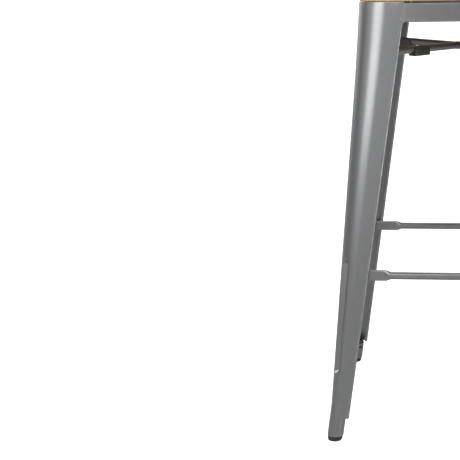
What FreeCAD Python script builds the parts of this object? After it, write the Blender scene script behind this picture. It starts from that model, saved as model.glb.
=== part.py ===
import FreeCAD, Part
import math
import os

# A backless stacking bar stool: four folded sheet-steel legs, an apron, a footrest, a cross
# brace and a seat pad of glued wood staves. Sizes are in millimetres. The origin is on the
# floor, under the middle of the seat: +Z is up, -Y is the front and +X is the right.

# Overall sizes
STOOL_HEIGHT = 765.0        # floor to the top of the seat
FRAME_WIDTH = 325.2         # over the legs' flat faces, at the top of the apron
BASE_WIDTH = 440.0          # over the steel feet, at the floor
SEAT_THICKNESS = 22.4

# Legs: one folded sheet each, an L in section, open towards the middle of the stool
SHEET = 1.2                 # thickness of every folded sheet
WING_TOP = 79.0             # width of a leg's side at the top of the apron
WING_PAST_FOOT = 6.0        # how much wider it is than the foot, at the bend above it
CORNER_RADIUS_TOP = 48.0    # outer corner at the top of the apron
LIP_DEPTH = 8.0             # fold inwards along each long edge
LIP_RETURN = 5.0            # and its turn back into the leg
FOLD_RADIUS = 2.2           # outside of a sharp fold
TOP_SLOPE = 0.0484          # outward run per unit of drop at the top of a leg
TOP_BEND_LENGTH = 165.0     # drop over which a leg reaches its full slope
TOP_BEND_STEPS = 5
RIM_RADIUS = 2.5            # turn of a leg's top edge into its flange
RIM_STEPS = 3
FLANGE_WIDTH = 24.0         # flat top of a leg, which the wood stands on

# Feet: the end of each leg's sheet is rolled into a tube, which a rubber plug closes
FOOT_RADIUS = 14.0
FOOT_SLOPE = 0.135
FOOT_TOP = 41.0             # where the leg's sides stop and the rolled tube goes on
FOOT_BEND_Z = 60.0          # middle of the bend above the foot
FOOT_BEND_LENGTH = 20.0
FOOT_BEND_STEPS = 4
RUBBER_HEIGHT = 9.0         # rubber under the rolled tube
RUBBER_INSET = 0.8          # the rubber is this much smaller in radius than the tube
RUBBER_TAPER = 0.8          # how much smaller the rubber is at the floor
PLUG_RISE = 6.0             # how far the rubber plug stands above the rolled tube
PLUG_CLEARANCE = 0.15
SLOT_Z = 33.5               # slot in the rolled tube that shows the plug
SLOT_WIDTH = 10.0
SLOT_HEIGHT = 4.0

# Groove pressed into each leg's outer corner
GROOVE_BOTTOM = 114.0
GROOVE_TOP = 314.0
GROOVE_RADIUS = 12.0
GROOVE_DEPTH = 5.2

# Apron rails, between the legs and flush with their faces
RAIL_HEIGHT = 31.2
RAIL_BELOW_SEAT = 2.8       # gap between the rails and the wood
RAIL_FLANGE = 12.0
RAIL_HEM = 8.0
RAIL_HEM_RETURN = 5.0

# Footrest: four tubes with flattened ends, lap welded behind the legs' edges
FOOTREST_Z = 287.4
FOOTREST_DIAMETER = 12.7
FOOTREST_WALL = 1.3
FLAT_HEIGHT = 18.5
FLAT_THICKNESS = 4.6
FLAT_LENGTH = 26.0          # of the flattened end that shows beside the leg
FLAT_TURN = 12.0            # run from the flattened end to the round tube
FOOTREST_LAP = 11.0         # how far the end goes past the leg's edge

# Cross brace: one long tube corner to corner, and two short ones welded to its middle
BRACE_BELOW_SEAT = 86.8     # middle of the brace to the underside of the seat
BRACE_DIAMETER = 12.5
BRACE_WALL = 1.3

# Stacking bumpers: plastic clips under the brace
BUMPER_LENGTH = 34.0
BUMPER_WALL = 2.5           # beside the tube
BUMPER_BASE = 4.75          # under the tube
BUMPER_TOP = 3.5            # clip's open edges, above the tube's axis
BUMPER_CORNER = 2.0
BUMPER_CLEARANCE = 0.05
FRONT_BUMPER_AT = 91.0      # from the stool's axis to the clip's middle, along the tube
REAR_BUMPER_AT = 132.0

# Seat pad
SEAT_INSET = 0.6            # how far the wood stands in from the frame's sides
SEAT_TOP_ROUND = 4.0
SEAT_BOTTOM_ROUND = 1.5
STAVES = 5

# Wood screws, up through the legs' flanges
SCREW_DIAMETER = 4.2
SCREW_LENGTH = 14.0         # of shank above its head
SCREW_HEAD_DIAMETER = 8.6
SCREW_HEAD_HEIGHT = 2.6
SCREW_HOLE_CLEARANCE = 0.4  # on the radius, in the flange
PILOT_CLEARANCE = 0.05      # on the radius, in the wood
PILOT_SPARE = 1.0           # depth of a pilot hole past its screw
SCREW_FROM_FACE = 14.0
SCREW_FROM_EDGE = 34.0

# Levels that follow from the sizes above
SEAT_BOTTOM = STOOL_HEIGHT - SEAT_THICKNESS
LEG_TOP = SEAT_BOTTOM
SHOULDER = LEG_TOP - RIM_RADIUS
RAIL_TOP = SEAT_BOTTOM - RAIL_BELOW_SEAT
BRACE_Z = SEAT_BOTTOM - BRACE_BELOW_SEAT
RAIL_BOTTOM = RAIL_TOP - RAIL_HEIGHT
FULL_SLOPE_Z = RAIL_TOP - TOP_BEND_LENGTH

INNER_DIAGONAL = 225.0      # direction of the stool's axis, seen from the rear right leg
ROUND_SHARE = 0.98          # a tube's corner radius, as a share of its half width
TINY = 0.01                 # what counts as nothing when edges are picked

CORNERS = ("rear_right", "rear_left", "front_left", "front_right")
SIDES = ("rear", "left", "front", "right")
DIAGONAL = math.sqrt(0.5)

SEAT_WIDTH = FRAME_WIDTH - 2 * SEAT_INSET
SEAT_CORNER_RADIUS = CORNER_RADIUS_TOP - SEAT_INSET
WING_FOOT = 2 * FOOT_RADIUS + WING_PAST_FOOT
RUBBER_RADIUS = FOOT_RADIUS - RUBBER_INSET
FACE_AT_FOOT_BEND = BASE_WIDTH / 2 - FOOT_SLOPE * FOOT_BEND_Z
LEG_DROP = RAIL_TOP - FOOT_BEND_Z
LEG_SLOPE = TOP_SLOPE + (FACE_AT_FOOT_BEND - FRAME_WIDTH / 2 - TOP_SLOPE * LEG_DROP) / (
    LEG_DROP - TOP_BEND_LENGTH / 2
)
EDGE_TOP = FRAME_WIDTH / 2 - WING_TOP
EDGE_SLOPE = (FACE_AT_FOOT_BEND - WING_FOOT - EDGE_TOP) / LEG_DROP


def vec(x, y, z):
    return FreeCAD.Vector(x, y, z)


def eased(distance, length):
    """Grows from nothing at -length / 2 to the distance itself at length / 2."""
    if distance <= -length / 2:
        return 0.0
    if distance >= length / 2:
        return distance
    return (distance + length / 2) ** 2 / (2 * length)


def face_at(z):
    """Distance from the stool's axis to a leg's flat outer face."""
    drop = RAIL_TOP - z
    top = eased(drop - TOP_BEND_LENGTH / 2, TOP_BEND_LENGTH) if drop > 0 else 0.0
    foot = eased(FOOT_BEND_Z - z, FOOT_BEND_LENGTH)
    spread = TOP_SLOPE * drop + (LEG_SLOPE - TOP_SLOPE) * top
    return FRAME_WIDTH / 2 + spread + (FOOT_SLOPE - LEG_SLOPE) * foot


def edge_at(z):
    """Distance from the stool's middle plane to a leg's long folded edge."""
    return EDGE_TOP + EDGE_SLOPE * (RAIL_TOP - z)


def corner_radius_at(z):
    share = (z - FOOT_TOP) / (RAIL_TOP - FOOT_TOP)
    return FOOT_RADIUS + (CORNER_RADIUS_TOP - FOOT_RADIUS) * max(share, 0.0)


def foot_axis_at(z):
    return face_at(z) - FOOT_RADIUS


def levels(low, high, steps):
    return [low + (high - low) * i / steps for i in range(steps + 1)]


def folded_wire(points, radii, thickness, place):
    """A closed wire around a folded sheet's section.

    The points are the sharp corners of its outer side, which turns left at each of them.
    The radii are for the inner points, and place turns a flat point into one in space.
    """
    runs = []
    for start, end in zip(points, points[1:]):
        length = math.hypot(end[0] - start[0], end[1] - start[1])
        runs.append(((end[0] - start[0]) / length, (end[1] - start[1]) / length))
    normals = [(-y, x) for x, y in runs]
    bends = []
    for corner, radius, before, after in zip(points[1:-1], radii, normals, normals[1:]):
        total = (before[0] + after[0], before[1] + after[1])
        reach = radius / (1 + before[0] * after[0] + before[1] * after[1])
        middle = (corner[0] + total[0] * reach, corner[1] + total[1] * reach)
        size = math.hypot(*total)
        bends.append((middle, radius, (before, (total[0] / size, total[1] / size), after)))

    def side(offset):
        first = (points[0][0] + normals[0][0] * offset, points[0][1] + normals[0][1] * offset)
        last = (points[-1][0] + normals[-1][0] * offset, points[-1][1] + normals[-1][1] * offset)
        edges = []
        at = first
        for middle, radius, ways in bends:
            reach = radius - offset
            arc = [(middle[0] - way[0] * reach, middle[1] - way[1] * reach) for way in ways]
            edges.append(Part.makeLine(place(*at), place(*arc[0])))
            edges.append(Part.Arc(*[place(*spot) for spot in arc]).toShape())
            at = arc[2]
        edges.append(Part.makeLine(place(*at), place(*last)))
        return edges, first, last

    outer, outer_first, outer_last = side(0.0)
    inner, inner_first, inner_last = side(thickness)
    caps = [
        Part.makeLine(place(*outer_last), place(*inner_last)),
        Part.makeLine(place(*inner_first), place(*outer_first)),
    ]
    return Part.Wire(outer + [caps[0]] + inner[::-1] + [caps[1]])


def rounded_square(half, radius, z):
    """A closed wire: a square about the stool's axis with round corners."""
    flat = half - radius
    edges = []
    for turn in range(4):
        angle = math.radians(90 * turn)

        def spot(x, y, angle=angle):
            across = x * math.cos(angle) - y * math.sin(angle)
            along = x * math.sin(angle) + y * math.cos(angle)
            return vec(across, along, z)

        knee = flat + radius * DIAGONAL
        edges.append(Part.makeLine(spot(half, -flat), spot(half, flat)))
        arc = Part.Arc(spot(half, flat), spot(knee, knee), spot(flat, half))
        edges.append(arc.toShape())
    return Part.Wire(edges)


def round_box_wire(width, height, radius, x):
    """A closed wire across X: a rectangle with round corners, about the X axis."""
    y, z = width / 2, height / 2
    flat_y, flat_z = y - radius, z - radius
    knee_y, knee_z = flat_y + radius * DIAGONAL, flat_z + radius * DIAGONAL
    edges = []
    for up, out in ((1, 1), (1, -1), (-1, -1), (-1, 1)):
        start = vec(x, out * y, up * flat_z)
        end = vec(x, out * flat_y, up * z)
        if up * out < 0:
            start, end = end, start
        arc = Part.Arc(start, vec(x, out * knee_y, up * knee_z), end)
        edges.append(arc.toShape())
    lines = []
    for before, after in zip(edges, edges[1:] + edges[:1]):
        lines.append(Part.makeLine(before.lastVertex(True).Point, after.firstVertex(True).Point))
    wire = []
    for arc, line in zip(edges, lines):
        wire += [arc, line]
    return Part.Wire(wire)


def ruled(wires):
    return Part.makeLoft(wires, True, True)


def turned(shape, quarters):
    return shape.rotated(vec(0, 0, 0), vec(0, 0, 1), 90 * quarters)


def leaning_cylinder(low, high, low_radius, high_radius):
    """A round peg that follows a foot's axis, with level ends."""
    circles = []
    for z, radius in ((low, low_radius), (high, high_radius)):
        at = foot_axis_at(z)
        circles.append(Part.Wire(Part.makeCircle(radius, vec(at, at, z))))
    return ruled(circles)


def leg_section(z):
    face, edge = face_at(z), edge_at(z)
    inner = face - LIP_DEPTH
    tip = edge + LIP_RETURN
    points = [
        (inner, tip),
        (inner, edge),
        (face, edge),
        (face, face),
        (edge, face),
        (edge, inner),
        (tip, inner),
    ]
    radii = [FOLD_RADIUS, FOLD_RADIUS, corner_radius_at(z), FOLD_RADIUS, FOLD_RADIUS]
    return folded_wire(points, radii, SHEET, lambda x, y: vec(x, y, z))


def flange_outline(inset, z):
    """The flat top of a leg: a band along both faces, around the corner."""
    face = face_at(SHOULDER)
    radius = corner_radius_at(SHOULDER) - inset
    end = edge_at(SHOULDER) + FOLD_RADIUS
    out = face - inset
    deep = face - FLANGE_WIDTH
    flat = out - radius
    knee = flat + radius * DIAGONAL
    corners = [vec(flat, out, z), vec(end, out, z), vec(end, deep, z), vec(deep, deep, z)]
    corners += [vec(deep, end, z), vec(out, end, z), vec(out, flat, z)]
    edges = [Part.Arc(vec(out, flat, z), vec(knee, knee, z), vec(flat, out, z)).toShape()]
    for start, finish in zip(corners, corners[1:]):
        edges.append(Part.makeLine(start, finish))
    return Part.Wire(edges)


def flange_body(inset, radius):
    outlines = []
    for angle in levels(0.0, math.pi / 2, RIM_STEPS):
        turn_in = inset + radius * (1 - math.cos(angle))
        outlines.append(flange_outline(turn_in, SHOULDER + radius * math.sin(angle)))
    return ruled(outlines)


def screw_spots():
    """The two screws of the rear right leg, as X and Y."""
    from_face = face_at(SHOULDER) - SCREW_FROM_FACE
    from_edge = edge_at(SHOULDER) + SCREW_FROM_EDGE
    return ((from_face, from_edge), (from_edge, from_face))


def groove_tool(radius):
    """A rod with ball ends along a leg's outer corner."""
    end_reach = math.sqrt(GROOVE_RADIUS**2 - (GROOVE_RADIUS - GROOVE_DEPTH) ** 2)
    balls = []
    for z in (GROOVE_BOTTOM + end_reach, GROOVE_TOP - end_reach):
        skin = face_at(z) - corner_radius_at(z) * (1 - DIAGONAL)
        at = skin + (GROOVE_RADIUS - GROOVE_DEPTH) * DIAGONAL
        balls.append(vec(at, at, z))
    low, high = balls
    way = high - low
    rod = Part.makeCylinder(radius, way.Length, low, way)
    return rod.fuse([Part.makeSphere(radius, low), Part.makeSphere(radius, high)])


def leg():
    """The rear right leg."""
    bend = FOOT_BEND_LENGTH / 2
    stations = [FOOT_TOP]
    stations += levels(FOOT_BEND_Z - bend, FOOT_BEND_Z + bend, FOOT_BEND_STEPS)
    stations += levels(FULL_SLOPE_Z, RAIL_TOP, TOP_BEND_STEPS)
    stations.append(SHOULDER)
    sheet = ruled([leg_section(z) for z in stations])

    flange = flange_body(0.0, RIM_RADIUS).cut(flange_body(SHEET, RIM_RADIUS - SHEET))
    tube = leaning_cylinder(RUBBER_HEIGHT, FOOT_TOP, FOOT_RADIUS, FOOT_RADIUS)
    bore = FOOT_RADIUS - SHEET
    tube = tube.cut(leaning_cylinder(RUBBER_HEIGHT, FOOT_TOP, bore, bore))
    tube = tube.cut(foot_slot())

    low, high = FOOT_BEND_Z + bend, FULL_SLOPE_Z
    skin = ruled([rounded_square(face_at(z), corner_radius_at(z), z) for z in (low, high)])
    groove_back = groove_tool(GROOVE_RADIUS + SHEET).common(skin)
    whole = sheet.fuse([flange, tube, groove_back]).cut(groove_tool(GROOVE_RADIUS))
    for x, y in screw_spots():
        radius = SCREW_DIAMETER / 2 + SCREW_HOLE_CLEARANCE
        drill = Part.makeCylinder(radius, RIM_RADIUS, vec(x, y, SHOULDER + SHEET / 2))
        whole = whole.cut(drill)
    return whole


def foot_slot():
    """A slot through the rolled tube's side that faces the stool's middle."""
    slot = Part.makeBox(2 * FOOT_RADIUS, SLOT_WIDTH, SLOT_HEIGHT)
    slot.translate(vec(0, -SLOT_WIDTH / 2, -SLOT_HEIGHT / 2))
    slot.rotate(vec(0, 0, 0), vec(0, 0, 1), INNER_DIAGONAL)
    at = foot_axis_at(SLOT_Z)
    slot.translate(vec(at, at, SLOT_Z))
    return slot


def rubber_foot():
    pad = leaning_cylinder(0.0, RUBBER_HEIGHT, RUBBER_RADIUS - RUBBER_TAPER, RUBBER_RADIUS)
    plug_radius = FOOT_RADIUS - SHEET - PLUG_CLEARANCE
    top = FOOT_TOP + PLUG_RISE
    return pad.fuse(leaning_cylinder(RUBBER_HEIGHT, top, plug_radius, plug_radius))


def rail():
    """The rear apron rail."""
    top, bottom = face_at(RAIL_TOP), face_at(RAIL_BOTTOM)
    points = [
        (top - RAIL_FLANGE, RAIL_TOP),
        (top, RAIL_TOP),
        (bottom, RAIL_BOTTOM),
        (bottom - RAIL_HEM, RAIL_BOTTOM),
        (bottom - RAIL_HEM, RAIL_BOTTOM + RAIL_HEM_RETURN),
    ]
    mirrored = [(-y, z) for y, z in points]
    long = edge_at(RAIL_BOTTOM) + LIP_DEPTH
    wire = folded_wire(mirrored, [FOLD_RADIUS] * 3, SHEET, lambda y, z: vec(-long, -y, z))
    bar = Part.Face(wire).extrude(vec(2 * long, 0, 0))
    ends = []
    for z in (RAIL_BOTTOM, RAIL_TOP):
        half = edge_at(z)
        ends += [vec(half, 0, z), vec(-half, 0, z)]
    ends[2], ends[3] = ends[3], ends[2]
    between_legs = Part.Face(Part.makePolygon(ends + ends[:1])).extrude(vec(0, BASE_WIDTH, 0))
    return bar.common(between_legs)


def footrest_bar():
    """The rear footrest bar."""
    edge = edge_at(FOOTREST_Z)
    ends = (edge + FOOTREST_LAP, edge - FLAT_LENGTH, edge - FLAT_LENGTH - FLAT_TURN)
    flat = (FLAT_THICKNESS, FLAT_HEIGHT)
    tube = (FOOTREST_DIAMETER, FOOTREST_DIAMETER)

    def body(wall):
        wires = []
        for x, size in (
            (-ends[0], flat),
            (-ends[1], flat),
            (-ends[2], tube),
            (ends[2], tube),
            (ends[1], flat),
            (ends[0], flat),
        ):
            width, height = size[0] - 2 * wall, size[1] - 2 * wall
            radius = min(width, height) / 2 * ROUND_SHARE
            wires.append(round_box_wire(width, height, radius, x))
        return ruled(wires)

    bar = body(0.0).cut(body(FOOTREST_WALL))
    bar.rotate(vec(0, 0, 0), vec(1, 0, 0), math.degrees(math.atan(LEG_SLOPE)))
    lean = math.hypot(1.0, LEG_SLOPE)
    back = FLAT_THICKNESS / 2
    y = face_at(FOOTREST_Z) - LIP_DEPTH - back / lean
    bar.translate(vec(0, y, FOOTREST_Z - back * LEG_SLOPE / lean))
    return bar


def diagonal_tube(start, end, quarters):
    """A brace tube between two distances from the stool's axis."""
    way = vec(DIAGONAL, DIAGONAL, 0)
    at = way * start + vec(0, 0, BRACE_Z)
    tube = Part.makeCylinder(BRACE_DIAMETER / 2, end - start, at, way)
    bore = Part.makeCylinder(BRACE_DIAMETER / 2 - BRACE_WALL, end - start, at, way)
    return turned(tube.cut(bore), quarters)


def inside_legs():
    """The space inside the legs' corners around the brace."""
    stations = levels(FULL_SLOPE_Z, RAIL_TOP, TOP_BEND_STEPS)
    rings = []
    for z in stations[1:-1]:
        rings.append(rounded_square(face_at(z) - SHEET, corner_radius_at(z) - SHEET, z))
    return ruled(rings)


def brace():
    """The long tube from rear left to front right, and the short one to the rear right."""
    reach = 2 * face_at(BRACE_Z)
    room = inside_legs()
    way = vec(-DIAGONAL, DIAGONAL, 0)
    start = way * -reach + vec(0, 0, BRACE_Z)
    through = Part.makeCylinder(BRACE_DIAMETER / 2, 2 * reach, start, way)
    long = diagonal_tube(-reach, reach, 1).common(room)
    short = diagonal_tube(0.0, reach, 0).common(room).cut(through)
    return long, short


def bumper(along):
    """A stacking bumper on the rear right arm of the brace."""
    half = BRACE_DIAMETER / 2 + BUMPER_WALL
    low = -BRACE_DIAMETER / 2 - BUMPER_BASE
    start = along - BUMPER_LENGTH / 2
    body = Part.makeBox(BUMPER_LENGTH, 2 * half, BUMPER_TOP - low)
    body.translate(vec(start, -half, low))
    lower = [e for e in body.Edges if e.BoundBox.ZMax < low + TINY]
    body = body.makeFillet(BUMPER_CORNER, [e for e in lower if e.BoundBox.YLength < TINY])
    bore = BRACE_DIAMETER / 2 + BUMPER_CLEARANCE
    body = body.cut(Part.makeCylinder(bore, BUMPER_LENGTH, vec(start, 0, 0), vec(1, 0, 0)))
    body.rotate(vec(0, 0, 0), vec(0, 0, 1), 45)
    body.translate(vec(0, 0, BRACE_Z))
    return body


def screw(x, y):
    underside = LEG_TOP - SHEET
    head = Part.makeCylinder(
        SCREW_HEAD_DIAMETER / 2, SCREW_HEAD_HEIGHT, vec(x, y, underside - SCREW_HEAD_HEIGHT))
    rims = [e for e in head.Edges if e.BoundBox.ZMax < underside - SCREW_HEAD_HEIGHT / 2]
    head = head.makeFillet(SCREW_HEAD_HEIGHT / 2, rims)
    shank = Part.makeCylinder(SCREW_DIAMETER / 2, SCREW_LENGTH - SCREW_DIAMETER / 2,
                              vec(x, y, underside))
    point = Part.makeCone(SCREW_DIAMETER / 2, 0.0, SCREW_DIAMETER / 2,
                          vec(x, y, underside + SCREW_LENGTH - SCREW_DIAMETER / 2))
    return head.fuse([shank, point])


def screws():
    made = []
    for quarters in range(4):
        made += [turned(screw(x, y), quarters) for x, y in screw_spots()]
    return Part.Compound(made)


def seat_pad():
    outline = rounded_square(SEAT_WIDTH / 2, SEAT_CORNER_RADIUS, SEAT_BOTTOM)
    pad = Part.Face(outline).extrude(vec(0, 0, SEAT_THICKNESS))
    top = [e for e in pad.Edges if e.BoundBox.ZMin > STOOL_HEIGHT - SEAT_TOP_ROUND]
    pad = pad.makeFillet(SEAT_TOP_ROUND, top)
    bottom = [e for e in pad.Edges if e.BoundBox.ZMax < SEAT_BOTTOM + SEAT_BOTTOM_ROUND]
    pad = pad.makeFillet(SEAT_BOTTOM_ROUND, bottom)
    depth = SCREW_LENGTH - SHEET + PILOT_SPARE
    radius = SCREW_DIAMETER / 2 + PILOT_CLEARANCE
    for quarters in range(4):
        for x, y in screw_spots():
            hole = Part.makeCylinder(radius, depth, vec(x, y, SEAT_BOTTOM))
            pad = pad.cut(turned(hole, quarters))
    return pad


def seat_staves():
    pad = seat_pad()
    width = SEAT_WIDTH / STAVES
    made = []
    for i in range(STAVES):
        slab = Part.makeBox(width, SEAT_WIDTH, SEAT_THICKNESS)
        slab.translate(vec(i * width - SEAT_WIDTH / 2, -SEAT_WIDTH / 2, SEAT_BOTTOM))
        made.append(pad.common(slab))
    return made


def single(shape):
    """The shape as one solid, where an operation left it in a compound."""
    cleaned = shape.removeSplitter()
    return cleaned.Solids[0] if len(cleaned.Solids) == 1 else cleaned


def write(name, shape):
    shape.exportStep(os.path.join("parts", name + ".step"))
    box = shape.BoundBox
    print(f"{name}: {len(shape.Solids)} solid, valid {shape.isValid()}, "
          f"{shape.Volume / 1000:.2f} cm3, Z {box.ZMin:.1f} to {box.ZMax:.1f}")


def main():
    os.makedirs("parts", exist_ok=True)
    one_leg, one_foot = single(leg()), single(rubber_foot())
    one_rail, one_bar = single(rail()), single(footrest_bar())
    for quarters, corner in enumerate(CORNERS):
        write("leg_" + corner, turned(one_leg, quarters))
        write("foot_" + corner, turned(one_foot, quarters))
        along = REAR_BUMPER_AT if corner.startswith("rear") else FRONT_BUMPER_AT
        write("bumper_" + corner, turned(single(bumper(along)), quarters))
    for quarters, side in enumerate(SIDES):
        write("rail_" + side, turned(one_rail, quarters))
        write("footrest_" + side, turned(one_bar, quarters))
    long, short = brace()
    write("brace_long", single(long))
    write("brace_rear_right", single(short))
    write("brace_front_left", turned(single(short), 2))
    for number, stave in enumerate(seat_staves(), 1):
        write(f"seat_stave_{number}", single(stave))
    write("seat_screws", screws())


main()
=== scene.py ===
"""Bar stool with a footrest: folded and pressed steel legs, tube bars and brace, and a stave-glued wood seat."""
import math

import bmesh
import bpy
from mathutils import Euler, Matrix, Vector


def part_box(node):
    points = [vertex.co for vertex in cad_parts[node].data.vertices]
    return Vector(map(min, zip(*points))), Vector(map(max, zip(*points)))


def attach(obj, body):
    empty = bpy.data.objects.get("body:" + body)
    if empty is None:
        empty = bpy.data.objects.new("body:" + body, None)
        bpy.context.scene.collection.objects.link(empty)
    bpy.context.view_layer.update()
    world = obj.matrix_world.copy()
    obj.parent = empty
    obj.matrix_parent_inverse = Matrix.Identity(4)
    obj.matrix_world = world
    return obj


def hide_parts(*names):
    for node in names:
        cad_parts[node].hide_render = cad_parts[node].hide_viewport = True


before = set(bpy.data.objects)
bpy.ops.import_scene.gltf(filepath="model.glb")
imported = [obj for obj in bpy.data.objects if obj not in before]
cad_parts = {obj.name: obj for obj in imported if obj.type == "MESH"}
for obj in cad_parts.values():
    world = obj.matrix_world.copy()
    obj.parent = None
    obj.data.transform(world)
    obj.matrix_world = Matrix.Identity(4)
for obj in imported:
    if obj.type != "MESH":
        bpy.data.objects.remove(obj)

bl_info = {
    "name": "Bar Stool with Footrest",
    "version": (1, 0, 0),
    "blender": (4, 5, 0),
    "location": "View3D > Sidebar > Stool",
    "description": "Builds a stacking bar stool piece by piece in pressed steel and wood",
    "category": "Object",
}

MM = 0.001
DIAGONAL = math.sqrt(0.5)
CORNERS = ("rear_right", "rear_left", "front_left", "front_right")
SIDES = ("rear", "left", "front", "right")
BODY = "root"
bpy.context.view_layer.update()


def low(node):
    """Lowest level of a node in the frame."""
    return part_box(node)[0][2]


def high(node):
    """Highest level of a node in the frame."""
    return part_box(node)[1][2]


def middle(node):
    return (low(node) + high(node)) / 2


LEG_TOP = high("leg_rear_right")
TUBE_END = low("leg_rear_right")
RAIL_TOP = high("rail_rear")
RAIL_BOTTOM = low("rail_rear")
SEAT_BOTTOM = low("seat_stave_3")
SEAT_TOP = high("seat_stave_3")
FOOTREST_LEVEL = middle("footrest_rear")
BRACE_LEVEL = middle("brace_long")
SCREW_BOTTOM = low("seat_screws")

TOP_BEND = 165 * MM                   # run in which the legs' faces curve from the apron's slope to their own
GROOVE_RUN_OUT = 9 * MM               # length of the groove's sloping ends
SLOT_HALF_WIDTH = 5 * MM              # half the width of the slot in the rolled tube
FOLD_STEPS = 6
CORNER_STEPS = 32
LIP_PARTS = 2
FACE_PARTS = 6
LIP_COLUMNS = 2 * (LIP_PARTS + FOLD_STEPS)      # columns before a wing's flat face begins
CUT_EDGE_RUB = 0.6
RIPPLE = 1.5 * MM                     # from one ripple of a weld bead to the next
RECESS_RINGS = 3                      # rings of a screw's skin that shape the star in its head

WHITE = (1.0, 1.0, 1.0, 1.0)
# name, place, size and power as a share of the side light
SOFT_BOXES = (("side_box", (-0.88, -1.28, 1.3), (0.92, 1.5), 1.0),
              ("side_fill_box", (-1.4, -0.62, 1.3), (0.8, 1.45), 0.12),
              ("front_fill_box", (-0.42, -1.5, 1.1), (0.3, 1.9), 0.09),
              ("right_box", (1.2, -0.95, 0.4), (0.45, 0.74), 0.45))
CAMERA_PLACE = (0.0140, -2.2834, 0.8662)
CAMERA_TURN = (77.882, 1.117, 6.623)
CAMERA_SHIFT = (-0.18, -0.06)


# ---------------------------------------------------------------- sizes and colours a user would change

def length(name, description, millimetres):
    return bpy.props.FloatProperty(name=name, description=description, default=millimetres * MM, min=0.0,
                                   unit="LENGTH", subtype="DISTANCE", precision=4)


def share(name, description, default):
    return bpy.props.FloatProperty(name=name, description=description, default=default,
                                   min=0.0, max=1.0, subtype="FACTOR")


def colour(name, description, default):
    return bpy.props.FloatVectorProperty(name=name, description=description, default=default,
                                         size=3, min=0.0, max=1.0, subtype="COLOR")


class StoolLegSizes(bpy.types.PropertyGroup):
    frame_width: length("Frame Width", "Across the legs' outer faces at the rails' top", 325.2)
    base_width: length("Base Width", "Across the legs' outer faces at the floor", 440)
    sheet: length("Sheet", "Thickness of the steel sheet", 1.2)
    wing_top: length("Wing at Top", "Width of a leg's face at the rails' top", 79)
    wing_foot: length("Wing at Foot", "Width of a leg's face where its wings end", 34)
    corner_top: length("Corner at Top", "Radius of a leg's outer corner under the seat", 48)
    foot_radius: length("Foot Radius", "Radius of the rolled tube at the foot", 14)
    foot_top: length("Foot Top", "Level where the rolled tube begins", 41)
    foot_bend: length("Foot Bend", "Level where the leg turns out to the foot", 60)
    fold: length("Fold", "Outer radius of the folds", 2.2)
    lip: length("Lip", "Depth of the lip along a leg's edges", 8)
    lip_return: length("Lip Return", "Width of the strip folded back from the lip", 5)
    rim: length("Rim", "Radius of the turned-in top rim", 2.5)
    flange: length("Flange", "Width of the flat top that the seat rests on", 24)
    groove_low: length("Groove Low", "Lower end of the pressed groove", 114)
    groove_high: length("Groove High", "Upper end of the pressed groove", 314)
    groove_round: length("Groove Round", "Radius of the groove's floor", 1.8)
    groove_depth: length("Groove Depth", "Depth of the groove at its middle", 7.2)


class StoolBarSizes(bpy.types.PropertyGroup):
    rail_flange: length("Rail Flange", "Width of the rails' top flange", 12)
    rail_hem: length("Rail Hem", "Width of the hem under the rails", 8)
    rail_corner: length("Rail Corner", "Radius where a rail's hem meets a leg", 5)
    footrest: length("Footrest", "Diameter of the footrest tubes", 12.7)
    flat_height: length("Flat Height", "Height of a footrest tube's flattened end", 18.5)
    flat_thickness: length("Flat Thickness", "Thickness of a flattened end", 4.6)
    flat_length: length("Flat Length", "Part of the flattened end that shows", 26)
    flat_turn: length("Flat Turn", "Run from the flattened end to the round tube", 12)
    lap: length("Lap", "How far a flattened end goes behind the leg's lip", 11)
    brace: length("Brace", "Diameter of the brace tubes", 12.5)
    tube_wall: length("Tube Wall", "Wall of the brace and footrest tubes", 1.3)
    bead: length("Weld Bead", "Radius of the weld beads", 1.1)


class StoolSmallSizes(bpy.types.PropertyGroup):
    bumper_length: length("Bumper Length", "Length of a stacking bumper along its tube", 34)
    bumper_wall: length("Bumper Wall", "Thickness of a bumper beside the tube", 2.5)
    rubber_height: length("Rubber Height", "Height of the rubber under a foot", 9)
    rubber_radius: length("Rubber Radius", "Radius of the rubber where it meets the tube", 13.2)
    seat_round: length("Seat Round", "Radius of the seat's upper edge", 4)
    seat_ease: length("Seat Ease", "Radius of the seat's lower edge", 1.5)
    seat_corner: length("Seat Corner", "Radius of the seat's corners seen from above", 47.4)
    glue_line: length("Glue Line", "Depth of the eased line between two staves", 0.25)
    screw_head: length("Screw Head", "Diameter of the screws' heads", 8.6)


class StoolFinish(bpy.types.PropertyGroup):
    paint: colour("Paint", "Colour of the steel's metallic paint", (0.193, 0.195, 0.198))
    worn_paint: colour("Worn Paint", "Paint rubbed thin along the folds", (0.33, 0.333, 0.338))
    paint_roughness: share("Paint Roughness", "How matt the paint is", 0.33)
    pale_wood: colour("Pale Wood", "Wood between the growth lines", (0.62, 0.385, 0.165))
    dark_wood: colour("Dark Wood", "Wood along the growth lines", (0.36, 0.19, 0.07))
    rubber: colour("Rubber", "Colour of the feet", (0.016, 0.016, 0.017))
    plastic: colour("Plastic", "Colour of the stacking bumpers", (0.03, 0.029, 0.028))
    screw: colour("Screw", "Colour of the screws", (0.55, 0.55, 0.56))


class StoolStage(bpy.types.PropertyGroup):
    floor: colour("Floor", "Colour of the floor", (0.58, 0.58, 0.58))
    side_light: bpy.props.FloatProperty(name="Side Light", description="Power of the soft box on the left",
                                        default=22.0, min=0.0, unit="POWER")
    top_light: bpy.props.FloatProperty(name="Top Light", description="Power of the soft box overhead",
                                       default=9.0, min=0.0, unit="POWER")
    room_light: share("Room Light", "Brightness of the room in front of the stool", 0.43)
    lens: bpy.props.FloatProperty(name="Lens", description="Focal length of the camera",
                                  default=101.07, min=1.0, unit="CAMERA")


# ---------------------------------------------------------------- mesh helpers

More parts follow.
